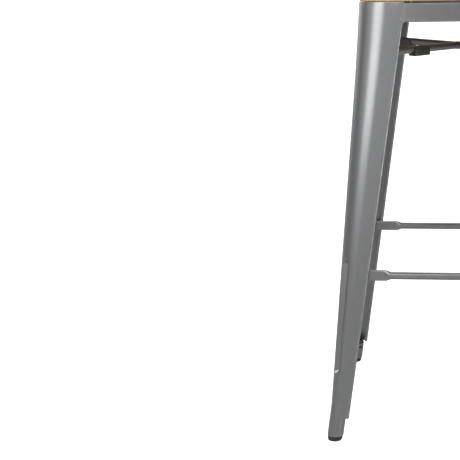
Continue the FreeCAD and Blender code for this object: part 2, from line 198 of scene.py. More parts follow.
def make_piece(name, points, faces, material, rub=None, tone=None):
    """A smooth-shaded mesh object. Its points may carry how rubbed they are, and a tone for its grain."""
    mesh = bpy.data.meshes.new(name)
    mesh.from_pydata([tuple(p) for p in points], [], faces)
    if rub is not None:
        mesh.attributes.new("rub", "FLOAT", "POINT").data.foreach_set("value", rub)
    if tone is not None:
        mesh.attributes.new("tone", "FLOAT", "POINT").data.foreach_set("value", [tone] * len(points))
    mesh.polygons.foreach_set("use_smooth", [True] * len(mesh.polygons))
    mesh.materials.append(material)
    mesh.validate()
    piece = bpy.data.objects.new(name, mesh)
    bpy.context.scene.collection.objects.link(piece)
    return piece


def settle(piece, slot_name, *nodes):
    """The piece rides on the stool's body and stands for these nodes, which it hides. Its slot name is not used."""
    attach(piece, BODY)
    if nodes:
        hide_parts(*nodes)


def weld_points(mesh, distance=0.02 * MM):
    work = bmesh.new()
    work.from_mesh(mesh)
    bmesh.ops.remove_doubles(work, verts=work.verts, dist=distance)
    work.to_mesh(mesh)
    work.free()


def add_sheet(piece, thickness, rim=0.3 * MM):
    """Gives a skin its sheet thickness on the inner side, with softened cut edges."""
    solid = piece.modifiers.new("sheet", "SOLIDIFY")
    solid.thickness = thickness
    solid.offset = -1.0
    solid.use_even_offset = True
    solid.use_quality_normals = True
    add_bevel(piece, rim, 55)


def add_bevel(piece, width, degrees):
    bevel = piece.modifiers.new("eased_edges", "BEVEL")
    bevel.width = width
    bevel.segments = 2
    bevel.limit_method = "ANGLE"
    bevel.angle_limit = math.radians(degrees)
    bevel.use_clamp_overlap = True
    keep_faces_flat(piece)


def keep_faces_flat(piece):
    piece.modifiers.new("flat_faces", "WEIGHTED_NORMAL").keep_sharp = True


def keep_creases(piece, degrees):
    """Edges sharper than this stay crisp in the smooth shading."""
    piece.data.set_sharp_from_angle(angle=math.radians(degrees))


def grid_faces(rows, columns, start=0, closed=False):
    """Quads of a grid of points stored row by row. A closed grid joins its last column to its first."""
    faces = []
    for r in range(rows - 1):
        for c in range(columns if closed else columns - 1):
            here, there = start + r * columns, start + (r + 1) * columns
            nxt = (c + 1) % columns
            faces.append((here + c, here + nxt, there + nxt, there + c))
    return faces


def turn(points, quarters):
    spin = Matrix.Rotation(math.radians(90 * quarters), 3, "Z")
    return [spin @ Vector(p) for p in points]


def arc(x, y, radius, first, last, steps):
    """Points of an arc between two angles in degrees."""
    angles = [math.radians(first + (last - first) * k / steps) for k in range(steps + 1)]
    return [(x + radius * math.cos(a), y + radius * math.sin(a)) for a in angles]


def circle(x, y, radius, steps):
    return arc(x, y, radius, 0, 360, steps)[:-1]


def round_corner(before, corner, after, radius, steps):
    """Points of the round that replaces a sharp corner, each with its outward normal."""
    ahead = (corner - before).normalized()
    beyond = (after - corner).normalized()
    bend = math.atan2(ahead.x * beyond.y - ahead.y * beyond.x, ahead.dot(beyond))
    side = math.copysign(1.0, bend)
    inward = Vector((-ahead.y, ahead.x)) * side
    centre = corner - ahead * radius * math.tan(abs(bend) / 2) + inward * radius
    spots = []
    for k in range(steps + 1):
        out = Matrix.Rotation(bend * k / steps, 2) @ -inward
        spots.append((centre + out * radius, out * side))
    return spots


def rounded_path(corners, rounds, cuts):
    """A bent line as (point, outward normal, how rubbed). rounds holds (radius, steps, rub) for each inner
    corner, and cuts the number of parts of each straight run. The outside is on the right of the line."""
    corners = [Vector(c) for c in corners]
    stops = []
    for i, corner in enumerate(corners):
        if 0 < i < len(corners) - 1:
            radius, steps, rub = rounds[i - 1]
            bend = round_corner(corners[i - 1], corner, corners[i + 1], radius, steps)
            stops.append([(p, n, rub) for p, n in bend])
        else:
            other = corners[1] if i == 0 else corners[-2]
            run = (other - corner if i == 0 else corner - other).normalized()
            stops.append([(corner, Vector((run.y, -run.x)), CUT_EDGE_RUB)])
    path = list(stops[0])
    for stop, parts in zip(stops[1:], cuts):
        (start, normal, _), (end, _, _) = path[-1], stop[0]
        for k in range(1, parts):
            path.append((start.lerp(end, k / parts), normal, 0.0))
        path += stop
    return path


def spread(start, end, step):
    """Levels from start to just before end, about a step apart."""
    count = max(1, round((end - start) / step))
    return [start + (end - start) * k / count for k in range(count)]


def sweep(rings, closed_ends=False):
    """Points and faces of a skin through closed rings of equal count."""
    count = len(rings[0])
    points = [p for ring in rings for p in ring]
    faces = grid_faces(len(rings), count, closed=True)
    if closed_ends:
        faces.append(tuple(reversed(range(count))))
        faces.append(tuple(range((len(rings) - 1) * count, len(rings) * count)))
    return points, faces


def join(points, faces, more_points, more_faces):
    """Adds another skin to these points and faces."""
    faces += [tuple(i + len(points) for i in face) for face in more_faces]
    points += more_points


def bead_rings(path, radius, closed=False):
    """Rings of a weld bead that follows a line of points, with the ripples a torch leaves."""
    rings = []
    count = len(path)
    travelled = 0.0
    for i, at in enumerate(path):
        ahead = path[(i + 1) % count] if closed or i < count - 1 else at
        behind = path[i - 1] if closed or i > 0 else at
        along = (ahead - behind).normalized()
        across = along.orthogonal().normalized()
        third = along.cross(across)
        if i:
            travelled += (at - path[i - 1]).length
        size = radius * (1 + 0.16 * math.sin(2 * math.pi * travelled / RIPPLE))
        if not closed and i in (0, count - 1):
            size *= 0.35
        rings.append([at + across * a + third * b for a, b in circle(0, 0, size, 10)])
    if closed:
        rings.append(rings[0])
    return rings


# ---------------------------------------------------------------- lines of the pressed legs

def eased(distance, run):
    """Grows from nothing at -run / 2 to the distance itself at run / 2."""
    if distance <= -run / 2:
        return 0.0
    if distance >= run / 2:
        return distance
    return (distance + run / 2) ** 2 / (2 * run)


class LegLines:
    """Where a leg's faces, edges and corner are at each level, for the leg at +X and +Y."""

    top_slope = 0.0484
    foot_slope = 0.135
    foot_run = 20 * MM

    def __init__(self, sizes):
        self.s = sizes
        half = sizes.frame_width / 2
        self.drop = RAIL_TOP - sizes.foot_bend
        self.face_low = sizes.base_width / 2 - self.foot_slope * sizes.foot_bend
        self.slope = self.top_slope + (self.face_low - half - self.top_slope * self.drop) / (
            self.drop - TOP_BEND / 2)
        self.edge_top = half - sizes.wing_top
        self.edge_slope = (self.face_low - sizes.wing_foot - self.edge_top) / self.drop

    def face(self, z):
        drop = RAIL_TOP - z
        top = eased(drop - TOP_BEND / 2, TOP_BEND) if drop > 0 else 0.0
        foot = eased(self.s.foot_bend - z, self.foot_run)
        out = self.top_slope * drop + (self.slope - self.top_slope) * top
        return self.s.frame_width / 2 + out + (self.foot_slope - self.slope) * foot

    def edge(self, z):
        return self.edge_top + self.edge_slope * (RAIL_TOP - z)

    def corner(self, z):
        part = (z - self.s.foot_top) / (RAIL_TOP - self.s.foot_top)
        return self.s.foot_radius + (self.s.corner_top - self.s.foot_radius) * max(part, 0.0)

    def foot_axis(self, z):
        return self.face(z) - self.s.foot_radius

    def corner_reach(self, z, aside, depth=0.0):
        """Distance from the axis to the corner's skin along the diagonal, at this offset to its side."""
        face, radius = self.face(z) - depth, self.corner(z) - depth
        return (face - radius) / DIAGONAL + math.sqrt(max(radius * radius - aside * aside, 0.0))

    def groove_floor(self, z, aside):
        """Distance along the diagonal to the groove's floor: two walls along the leg's faces, rounded between."""
        s = self.s
        low_end, high_end = s.groove_low + GROOVE_RUN_OUT, s.groove_high - GROOVE_RUN_OUT
        past = max(low_end - z, z - high_end, 0.0)
        spread_out = math.sqrt(aside * aside + past * past + s.groove_round**2) - s.groove_round
        return self.corner_reach(z, 0.0) - s.groove_depth + spread_out


def leg_section(lines, z):
    """The leg's outer line at a level, from one returned strip to the other."""
    s = lines.s
    face, edge = lines.face(z), lines.edge(z)
    inner, tip = face - s.lip, edge + s.lip_return
    corners = [(inner, tip), (inner, edge), (face, edge), (face, face), (edge, face), (edge, inner), (tip, inner)]
    fold = (s.fold, FOLD_STEPS, 1.0)
    rounds = [fold, fold, (lines.corner(z), CORNER_STEPS, 0.0), fold, fold]
    return rounded_path(corners, rounds, (LIP_PARTS, LIP_PARTS, FACE_PARTS, FACE_PARTS, LIP_PARTS, LIP_PARTS))


def push_in(point, distance):
    """Moves a point of the leg's line towards the stool's axis, along the diagonal."""
    return Vector((point.x - distance * DIAGONAL, point.y - distance * DIAGONAL))


def press_groove(lines, z, point):
    """Pushes a point of the corner's skin in to the groove's floor, with a softly rounded lip."""
    aside = (point.y - point.x) * DIAGONAL
    reach = (point.x + point.y) * DIAGONAL
    gap = reach - lines.groove_floor(z, aside)
    soft = 0.35 * MM
    return push_in(point, gap if gap > soft else (gap + soft) ** 2 / (4 * soft) if gap > -soft else 0.0)


def swell_neck(lines, z, point):
    """Swells the corner a little just above the rolled tube, where the press left metal over."""
    aside = (point.y - point.x) * DIAGONAL
    rise = z - lines.s.foot_top - 6 * MM
    return push_in(point, -0.8 * MM * math.exp(-(rise / (3.5 * MM)) ** 2 - (aside / (4 * MM)) ** 2))


def leg_levels(s):
    """Levels of the leg's rows of points, closest together where its shape changes quickly."""
    shoulder = LEG_TOP - s.rim
    stops = ((s.foot_top, 0.8), (s.foot_bend - 10 * MM, 2.2), (s.foot_bend + 12 * MM, 8),
             (s.groove_low - 4 * MM, 1), (s.groove_low + 18 * MM, 4), (s.groove_high - 18 * MM, 1),
             (s.groove_high + 4 * MM, 12), (RAIL_TOP - TOP_BEND, 9), (shoulder, 0))
    levels = []
    for (start, step), (end, _) in zip(stops, stops[1:]):
        levels += spread(start, end, step * MM)
    return levels + [shoulder]


def leg_skin(lines):
    """Points, faces and rub of the rear right leg's outer skin."""
    s = lines.s
    points, rubs = [], []
    levels = leg_levels(s)
    for z in levels:
        for spot, _, rub in leg_section(lines, z):
            spot = press_groove(lines, z, swell_neck(lines, z, spot))
            points.append((spot.x, spot.y, z))
            rubs.append(rub)
    faces = grid_faces(len(levels), len(points) // len(levels))

    # the rim turns in at the top and becomes the flat flange under the seat
    shoulder = levels[-1]
    top = leg_section(lines, shoulder)[LIP_COLUMNS:-LIP_COLUMNS]
    turn_in = [(s.rim - across, rise) for across, rise in arc(0, 0, s.rim, 0, 90, 5)]
    turn_in += [(w, s.rim) for w in (4 * MM, 8 * MM, 14 * MM, s.flange)]
    start = len(points)
    for inset, rise in turn_in:
        for spot, normal, _ in top:
            spot = spot - normal * inset
            points.append((spot.x, spot.y, shoulder + rise))
            rubs.append(0.8 if inset <= s.rim else 0.0)
    faces += grid_faces(len(turn_in), len(top), start)

    # the corner goes on down as a quarter of the rolled tube, and the other three quarters close it
    tube_levels = [TUBE_END + d * MM for d in (0, 0.6, 4, 8, 12, 16, 20, 22.5, 24.5, 26.5, 29)] + [s.foot_top]
    slot_low, slot_high = tube_levels[7], tube_levels[9]
    for first, last, steps in ((0, 90, CORNER_STEPS), (90, 360, 72)):
        start = len(points)
        for z in tube_levels:
            axis = lines.foot_axis(z)
            points += [(x, y, z) for x, y in arc(axis, axis, s.foot_radius, first, last, steps)]
            rubs += [1.0 if z < TUBE_END + 1 * MM else 0.0] * (steps + 1)
        for face in grid_faces(len(tube_levels), steps + 1, start):
            x, y, z = (sum(points[i][axis] for i in face) / 4 for axis in range(3))
            in_slot = first == 90 and slot_low < z < slot_high and abs(y - x) * DIAGONAL < SLOT_HALF_WIDTH
            if not (in_slot and x < lines.foot_axis(z)):
                faces.append(face)
    return points, faces, rubs


# ---------------------------------------------------------------- shader node groups and materials

def new_mask_group(name, **numbers):
    """A node group that makes a mask from a place and some numbers."""
    group = bpy.data.node_groups.new(name, "ShaderNodeTree")
    group.interface.new_socket("Vector", in_out="INPUT", socket_type="NodeSocketVector")
    for label, default in numbers.items():
        group.interface.new_socket(label, in_out="INPUT", socket_type="NodeSocketFloat").default_value = default
    group.interface.new_socket("Mask", in_out="OUTPUT", socket_type="NodeSocketFloat")
    start, end = group.nodes.new("NodeGroupInput"), group.nodes.new("NodeGroupOutput")
    return group, start.outputs, end.inputs["Mask"]


def node(tree, kind, **settings):
    made = tree.nodes.new(kind)
    for key, value in settings.items():
        setattr(made, key, value)
    return made


def feed(tree, socket, value):
    """Links a socket to another one, or sets it to a plain value."""
    if isinstance(value, bpy.types.NodeSocket):
        tree.links.new(value, socket)
    else:
        socket.default_value = value


def feed_all(tree, made, **values):
    """Links or sets a node's inputs by their labels."""
    for label, value in values.items():
        feed(tree, made.inputs[label.replace("_", " ").title()], value)


def math_node(tree, operation, first, second=None):
    made = node(tree, "ShaderNodeMath", operation=operation)
    for socket, value in zip(made.inputs, (first, second)):
        if value is not None:
            feed(tree, socket, value)
    return made.outputs[0]


def vector_node(tree, operation, first, second):
    made = node(tree, "ShaderNodeVectorMath", operation=operation)
    feed(tree, made.inputs[0], first)
    feed(tree, made.inputs[1], second)
    return made.outputs[0]


def times(tree, first, second):
    return math_node(tree, "MULTIPLY", first, second)


def plus(tree, first, second):
    return math_node(tree, "ADD", first, second)


def mix_colour(tree, factor, first, second):
    made = node(tree, "ShaderNodeMix", data_type="RGBA")
    feed(tree, made.inputs["Factor"], factor)
    for socket, value in ((made.inputs[6], first), (made.inputs[7], second)):
        feed(tree, socket, value if isinstance(value, bpy.types.NodeSocket) else (*value, 1.0))
    return made.outputs[2]


def remap(tree, value, from_low, from_high, to_low, to_high):
    made = node(tree, "ShaderNodeMapRange")
    feed_all(tree, made, value=value, from_min=from_low, from_max=from_high, to_min=to_low, to_max=to_high)
    return made.outputs["Result"]


def split_axes(tree, vector):
    made = node(tree, "ShaderNodeSeparateXYZ")
    tree.links.new(vector, made.inputs[0])
    return made.outputs


def surface_normal(tree):
    return split_axes(tree, node(tree, "ShaderNodeNewGeometry").outputs["Normal"])


def point_mark(tree, name):
    """A value that the mesh's points carry."""
    return node(tree, "ShaderNodeAttribute", attribute_type="GEOMETRY", attribute_name=name).outputs["Fac"]


def noise(tree, vector, scale, detail):
    made = node(tree, "ShaderNodeTexNoise", noise_dimensions="3D")
    feed_all(tree, made, vector=vector, scale=scale, detail=detail)
    return made.outputs[0]


def speckle_group():
    """Fine grain at a given scale, between two thresholds: flakes, pebbling, pores."""
    group, given, mask = new_mask_group("fine_speckle", Scale=400.0, Detail=2.0, Low=0.35, High=0.65)
    grain = noise(group, given["Vector"], given["Scale"], given["Detail"])
    group.links.new(remap(group, grain, given["Low"], given["High"], 0.0, 1.0), mask)
    return group


def patchy_group(name, scale, amount, detail, patches, where_it_lies):
    """A node group whose mask lies where where_it_lies puts it, broken up by noise."""
    group, given, mask = new_mask_group(name, Scale=scale, Amount=amount)
    broken = remap(group, noise(group, given["Vector"], given["Scale"], detail), *patches)
    both = times(group, where_it_lies(group), broken)
    group.links.new(times(group, both, given["Amount"]), mask)
    return group


def rub_group():
    """Where hands, shoes and stacking rub a finish: the marked edges."""
    return patchy_group("rubbed_edges", 60.0, 0.5, 4.0, (0.38, 0.66, 0.0, 1.0), lambda group: point_mark(group, "rub"))


def dust_group():
    """A thin film of dust on the parts that face up."""
    return patchy_group("settled_dust", 18.0, 0.3, 5.0, (0.3, 0.8, 0.2, 1.0),
                        lambda group: remap(group, surface_normal(group)["Z"], 0.25, 1.0, 0.0, 1.0))


GROUP_BUILDERS = {"fine_speckle": speckle_group, "rubbed_edges": rub_group, "settled_dust": dust_group}


def place_group(tree, name, vector, **values):
    made = node(tree, "ShaderNodeGroup")
    made.node_tree = bpy.data.node_groups.get(name) or GROUP_BUILDERS[name]()
    feed_all(tree, made, vector=vector, **values)
    return made.outputs["Mask"]


def speckle(tree, vector, scale, detail=2.0, low=0.3, high=0.7):
    return place_group(tree, "fine_speckle", vector, scale=scale, detail=detail, low=low, high=high)


def rubbed_edges(tree, vector, scale, amount):
    return place_group(tree, "rubbed_edges", vector, scale=scale, amount=amount)


def settled_dust(tree, vector, scale, amount):
    return place_group(tree, "settled_dust", vector, scale=scale, amount=amount)


def new_material(name):
    material = bpy.data.materials.new(name)
    material.use_nodes = True
    tree = material.node_tree
    shader = tree.nodes["Principled BSDF"]
    where = node(tree, "ShaderNodeTexCoord").outputs["Object"]
    return material, tree, shader, where


def bumps(tree, height, strength, distance):
    bump = node(tree, "ShaderNodeBump")
    feed_all(tree, bump, height=height, strength=strength, distance=distance)
    return bump.outputs[0]


def paint_material(name, finish):
    """Satin metallic paint: fine flakes, orange peel, rubbed folds and a little dust."""
    material, tree, shader, where = new_material(name)
    paint = Vector(finish.paint)
    flakes = speckle(tree, where, 1500.0, 1.0)
    clouds = speckle(tree, where, 7.0, 3.0)
    rubbed = rubbed_edges(tree, where, 55.0, 0.55)
    dust = settled_dust(tree, where, 16.0, 0.16)
    base = mix_colour(tree, flakes, paint * 0.93, paint * 1.07)
    base = mix_colour(tree, times(tree, clouds, 0.5), base, paint * 0.95)
    base = mix_colour(tree, rubbed, base, finish.worn_paint)
    base = mix_colour(tree, dust, base, (0.5, 0.49, 0.47))
    rough = remap(tree, clouds, 0.0, 1.0, finish.paint_roughness - 0.02, finish.paint_roughness + 0.03)
    rough = plus(tree, rough, times(tree, dust, 0.5))
    rough = plus(tree, rough, times(tree, rubbed, -0.06))
    feed_all(tree, shader, base_color=base, roughness=rough, metallic=0.82, coat_weight=0.12, coat_roughness=0.22,
             normal=bumps(tree, speckle(tree, where, 330.0), 0.25, 0.04 * MM))
    return material


def wood_material(name, finish):
    """Oiled pale hardwood: growth lines along the staves, end grain front and back, fine pores."""
    material, tree, shader, where = new_material(name)
    tone = point_mark(tree, "tone")

    # each stave is cut from another place of the log
    shift = node(tree, "ShaderNodeCombineXYZ")
    feed_all(tree, shift, x=times(tree, tone, 3.7), y=times(tree, tone, 9.1))
    moved = vector_node(tree, "ADD", where, shift.outputs[0])
    along = vector_node(tree, "MULTIPLY", moved, (1.0, 0.055, 1.0))

    # growth lines: bands through the log, bent by slow noise
    axes = split_axes(tree, along)
    across = plus(tree, axes["X"], times(tree, axes["Z"], 0.55))
    across = plus(tree, across, times(tree, noise(tree, along, 9.0, 2.0), 0.085))
    rings = math_node(tree, "POWER", math_node(tree, "FRACT", times(tree, across, 85.0)), 2.4)
    streaks = speckle(tree, along, 900.0, 3.0, 0.42, 0.62)
    broad = speckle(tree, along, 28.0, 3.0)

    pale, dark = Vector(finish.pale_wood), Vector(finish.dark_wood)
    base = mix_colour(tree, times(tree, rings, 0.62), pale, dark)
    base = mix_colour(tree, times(tree, broad, 0.5), base, dark.lerp(pale, 0.3))
    base = mix_colour(tree, times(tree, streaks, 0.3), base, dark * 0.8)
    base = mix_colour(tree, times(tree, tone, 0.55), base, dark.lerp(pale, 0.25))

    # end grain takes up more oil, so it is darker and speckled with pores
    end_on = math_node(tree, "ABSOLUTE", surface_normal(tree)["Y"])
    ends = remap(tree, end_on, 0.55, 0.95, 0.0, 1.0)
    pores = speckle(tree, where, 1700.0, 2.0, 0.5, 0.72)
    base = mix_colour(tree, times(tree, ends, 0.16), base, dark * 0.75)
    base = mix_colour(tree, times(tree, times(tree, ends, pores), 0.3), base, dark * 0.45)
    base = mix_colour(tree, rubbed_edges(tree, where, 30.0, 0.22), base, dark * 0.7)

    rough = plus(tree, remap(tree, rings, 0.0, 1.0, 0.42, 0.5), times(tree, ends, 0.1))
    height = math_node(tree, "SUBTRACT", times(tree, rings, 0.5), streaks)
    feed_all(tree, shader, base_color=base, roughness=rough, coat_weight=0.05, coat_roughness=0.3,
             normal=bumps(tree, height, 0.35, 0.06 * MM))
    return material


def moulded_material(name, tint, roughness, scale, rub_amount, dust_amount):
    """Rubber or plastic out of a mould: pebbled, a little patchy, scuffed on its edges and dusty on top."""
    material, tree, shader, where = new_material(name)
    tint = Vector(tint)
    patches = speckle(tree, where, 45.0, 4.0)
    base = mix_colour(tree, patches, tint * 0.8, tint * 1.25)
    base = mix_colour(tree, rubbed_edges(tree, where, 110.0, rub_amount), base, tint * 3.0)
    base = mix_colour(tree, settled_dust(tree, where, 40.0, dust_amount), base, (0.32, 0.31, 0.29))
    rough = remap(tree, patches, 0.0, 1.0, roughness - 0.05, roughness + 0.06)
    feed_all(tree, shader, base_color=base, roughness=rough,
             normal=bumps(tree, speckle(tree, where, scale), 0.4, 0.06 * MM))
    return material


def rubber_material(name, finish):
    return moulded_material(name, finish.rubber, 0.62, 700.0, 0.3, 0.25)


def plastic_material(name, finish):
    return moulded_material(name, finish.plastic, 0.45, 1100.0, 0.25, 0.2)


def screw_material(name, finish):
    """Zinc-plated steel with fine turning marks."""
    material, tree, shader, where = new_material(name)
    tint = Vector(finish.screw)
    marks = speckle(tree, where, 900.0, 3.0)
    base = mix_colour(tree, marks, tint * 0.85, tint)
    base = mix_colour(tree, rubbed_edges(tree, where, 400.0, 0.4), base, tint * 1.2)
    feed_all(tree, shader, base_color=base, roughness=remap(tree, marks, 0.0, 1.0, 0.28, 0.42), metallic=1.0,
             normal=bumps(tree, marks, 0.3, 0.02 * MM))
    return material


MATERIALS = {
    "painted_steel": ("metallic_paint", paint_material),
    "seat_wood": ("oiled_wood", wood_material),
    "foot_rubber": ("pebbled_rubber", rubber_material),
    "bumper_plastic": ("moulded_plastic", plastic_material),
    "screw_steel": ("plated_steel", screw_material),
}


def finish_for(scene, slot_name):
    """The material of a slot, made when the first piece asks for it."""
    name, build = MATERIALS[slot_name]
    return bpy.data.materials.get(name) or build(name, scene.stool_finish)


# ---------------------------------------------------------------- the stool's pieces

def turned_pieces(scene, name, ends, skin, slot_name, node_name, shape):
    """One piece at each corner or side, turned from the rear one's skin. shape adds what the skin lacks."""
    points, faces, rubs = skin
    for quarters, end in enumerate(ends):
        piece = make_piece(f"{name}_{end}", turn(points, quarters), faces, finish_for(scene, slot_name), rubs)
        shape(piece)
        settle(piece, slot_name, f"{node_name}_{end}")


class STOOL_OT_leg_shells(bpy.types.Operator):
    """Builds the four legs, each one folded and pressed sheet rolled into a tube at its foot"""
    bl_idname = "stool.leg_shells"
    bl_label = "Build Legs"

    def execute(self, context):
        scene = context.scene

        def shape(leg):
            weld_points(leg.data)
            add_sheet(leg, scene.stool_legs.sheet)

        turned_pieces(scene, "leg_shell", CORNERS, leg_skin(LegLines(scene.stool_legs)), "painted_steel", "leg", shape)
        return {"FINISHED"}


def rail_skin(lines, bars):
    """The rear rail's outer skin. Its hem runs down into the legs in a small round at both ends."""
    top, bottom = lines.face(RAIL_TOP), lines.face(RAIL_BOTTOM)
    corners = [(top - bars.rail_flange, RAIL_TOP), (top, RAIL_TOP), (bottom, RAIL_BOTTOM),
               (bottom - bars.rail_hem, RAIL_BOTTOM), (bottom - bars.rail_hem, RAIL_BOTTOM + 5 * MM)]
    fold = (lines.s.fold, FOLD_STEPS, 1.0)
    path = rounded_path([(-y, z) for y, z in corners], [fold] * 3, (3, 5, 3, 2))
    half = lines.edge((RAIL_TOP + RAIL_BOTTOM) / 2)
    near = [1 - d * MM / half for d in (0, 0.5, 1, 1.6, 2.4, 3.2, 4.1, 5, 8, 16)]
    stations = [-n for n in near] + [-0.6, -0.3, 0.0, 0.3, 0.6] + near[::-1]
    points, rubs = [], []
    for station in stations:
        for spot, _, rub in path:
            z = spot.y
            x = station * lines.edge(z)
            gap = max(bars.rail_corner - (lines.edge(z) - abs(x)), 0.0)
            fall = bars.rail_corner - math.sqrt(max(bars.rail_corner**2 - gap * gap, 0.0))
            weight = min(max((RAIL_BOTTOM + 14 * MM - z) / (12 * MM), 0.0), 1.0)
            points.append((x, -spot.x, z - fall * weight))
            rubs.append(rub * 0.7)
    faces = [tuple(reversed(f)) for f in grid_faces(len(stations), len(path))]
    return points, faces, rubs


class STOOL_OT_apron_rails(bpy.types.Operator):
    """Builds the four folded rails between the legs' tops"""
    bl_idname = "stool.apron_rails"
    bl_label = "Build Rails"

    def execute(self, context):
        scene = context.scene
        skin = rail_skin(LegLines(scene.stool_legs), scene.stool_bars)
        turned_pieces(scene, "apron_rail", SIDES, skin, "painted_steel", "rail",
                      lambda rail: add_sheet(rail, scene.stool_legs.sheet))
        return {"FINISHED"}


def stadium_ring(thickness, height, steps=8):
    """A round-ended slot's outline as (Y, Z) offsets; equal sizes make a circle."""
    radius = min(thickness, height) / 2 * 0.99
    across, up = thickness / 2 - radius, height / 2 - radius
    ring = []
    for first, y, z in ((0, across, up), (90, -across, up), (180, -across, -up), (270, across, -up)):
        ring += arc(y, z, radius, first, first + 90, steps)
    return ring


def footrest_skin(lines, bars):
    """The rear footrest tube: round in the middle, pressed flat at both ends and leaning with the legs."""
    edge = lines.edge(FOOTREST_LEVEL)
    ends = edge + bars.lap
    flat_end = edge - bars.flat_length
    round_end = flat_end - bars.flat_turn
    lean = math.hypot(1.0, lines.slope)
    back = bars.flat_thickness / 2
    y_axis = lines.face(FOOTREST_LEVEL) - lines.s.lip - back / lean
    z_axis = FOOTREST_LEVEL - back * lines.slope / lean
    tilt = Matrix.Rotation(math.atan(lines.slope), 3, "X")

    # places along half the tube, each with how round it is: 1 a circle, 0 flat, below 0 pinched at the cut
    half = [(0.0, 1.0), (round_end * 0.5, 1.0), (round_end - 4 * MM, 1.0)]
    half += [(round_end + (flat_end - round_end) * k / 10, 1 - k / 10) for k in range(11)]
    half += [(flat_end + 4 * MM, 0.0), (edge, 0.0), (ends - 1.5 * MM, 0.0), (ends, -0.12)]
    stations = [(-x, r) for x, r in half[:0:-1]] + half
    rings, rubs = [], []
    for x, roundness in stations:
        swell = min(roundness * 1.25, 1.0) if roundness > 0 else roundness
        drop = min(max((roundness - 0.3) / 0.7, 0.0), 1.0)
        thickness = bars.flat_thickness + (bars.footrest - bars.flat_thickness) * swell
        height = bars.flat_height + (bars.footrest - bars.flat_height) * drop
        spots = [tilt @ Vector((x, y, z)) for y, z in stadium_ring(thickness, height)]
        rings.append([(spot.x, spot.y + y_axis, spot.z + z_axis) for spot in spots])
        rubs += [0.5 if 0.05 < roundness < 0.95 else 0.25] * len(spots)
    return *sweep(rings, closed_ends=True), rubs


class STOOL_OT_footrest_bars(bpy.types.Operator):
    """Builds the four footrest tubes with their flattened ends"""
    bl_idname = "stool.footrest_bars"
    bl_label = "Build Footrest Bars"

    def execute(self, context):
        scene = context.scene
        skin = footrest_skin(LegLines(scene.stool_legs), scene.stool_bars)
        turned_pieces(scene, "footrest_tube", SIDES, skin, "painted_steel", "footrest",
                      lambda bar: add_bevel(bar, 0.6 * MM, 70))
        return {"FINISHED"}


def from_diagonal(along, aside, z):
    """The point this far along the diagonal to +X +Y, and this far to its side."""
    return Vector(((along - aside) * DIAGONAL, (along + aside) * DIAGONAL, z))


def arm_rings(lines, bars, start_at_middle):
    """Rings of a brace tube along +X +Y, coped to the leg, and to the long tube if it starts at the middle."""
    radius = bars.brace / 2

    def end_reach(aside, up):
        return lines.corner_reach(BRACE_LEVEL + up, aside, lines.s.sheet)

    rings = []
    for k in range(9):
        ring = []
        for aside, up in circle(0, 0, radius, 40):
            first = -end_reach(aside, up)
            if start_at_middle:
                first = math.sqrt(max(radius * radius - up * up, 0.0)) + 0.25 * MM
            along = first + (end_reach(aside, up) - first) * k / 8
            ring.append(from_diagonal(along, aside, BRACE_LEVEL + up))
        rings.append(ring)
    return rings


class STOOL_OT_cross_brace(bpy.types.Operator):
    """Builds the cross brace under the seat, one long tube and two short ones coped to it"""
    bl_idname = "stool.cross_brace"
    bl_label = "Build Cross Brace"

    def execute(self, context):
        scene = context.scene
        lines, bars = LegLines(scene.stool_legs), scene.stool_bars
        arms = (("brace_tube_long", "brace_long", 1, False),
                ("brace_tube_rear_right", "brace_rear_right", 0, True),
                ("brace_tube_front_left", "brace_front_left", 2, True))
        for name, node_name, quarters, from_middle in arms:
            points, faces = sweep(arm_rings(lines, bars, from_middle))
            tube = make_piece(name, turn(points, quarters), faces, finish_for(scene, "painted_steel"),
                              [0.15] * len(points))
            add_sheet(tube, bars.tube_wall, 0.2 * MM)
            settle(tube, "painted_steel", node_name)
        return {"FINISHED"}


def on_side(side, along, out, z):
    """A point on the rear right leg's rear wing for side 1, and on its right wing for side -1."""
    return Vector((along, out, z) if side > 0 else (out, along, z))


def weld_paths(lines, bars, arm_end):
    """Lines of the weld beads around the rear right leg, as (points, closed)."""
    back_off = Vector((-DIAGONAL, -DIAGONAL, 0)) * 0.6 * MM
    paths = [([p + back_off for p in arm_end], True)]
    inner = lines.s.sheet + 0.35 * MM
    for side in (1, -1):
        run = []
        for k in range(20):
            z = RAIL_BOTTOM + 7 * MM + (RAIL_TOP - RAIL_BOTTOM - 14 * MM) * k / 19
            run.append(on_side(side, lines.edge(z), lines.face(z) - inner, z))
        paths.append((run, False))
        for up in (1, -1):
            z = FOOTREST_LEVEL + up * bars.flat_height / 2
            out = lines.face(z) - lines.s.lip - 0.9 * MM
            run = [on_side(side, lines.edge(z) + (1.0 + 7.5 * k / 11) * MM, out, z) for k in range(12)]
            paths.append((run, False))
    return paths


def ground_weld(lines, side):
    """Rings of the weld that fills the fold between a leg and a rail, ground almost flush with their faces."""
    rings = []
    for k in range(17):
        part = k / 16
        z = RAIL_BOTTOM - 4.5 * MM + (RAIL_TOP - RAIL_BOTTOM + 2.5 * MM) * part
        along, out = lines.edge(z), lines.face(z)
        sunk = 0.03 + 0.5 * max((part - 0.6) / 0.4, 0.0) ** 2
        outline = ((-0.6, sunk), (0.7, sunk + 0.02), (2.6, sunk), (1.2, 1.2), (0.0, 2.2), (-0.6, 1.1))
        ring = [on_side(side, along + across * MM, out - deep * MM, z) for across, deep in outline]
        rings.append(ring if side < 0 else ring[::-1])
    return rings


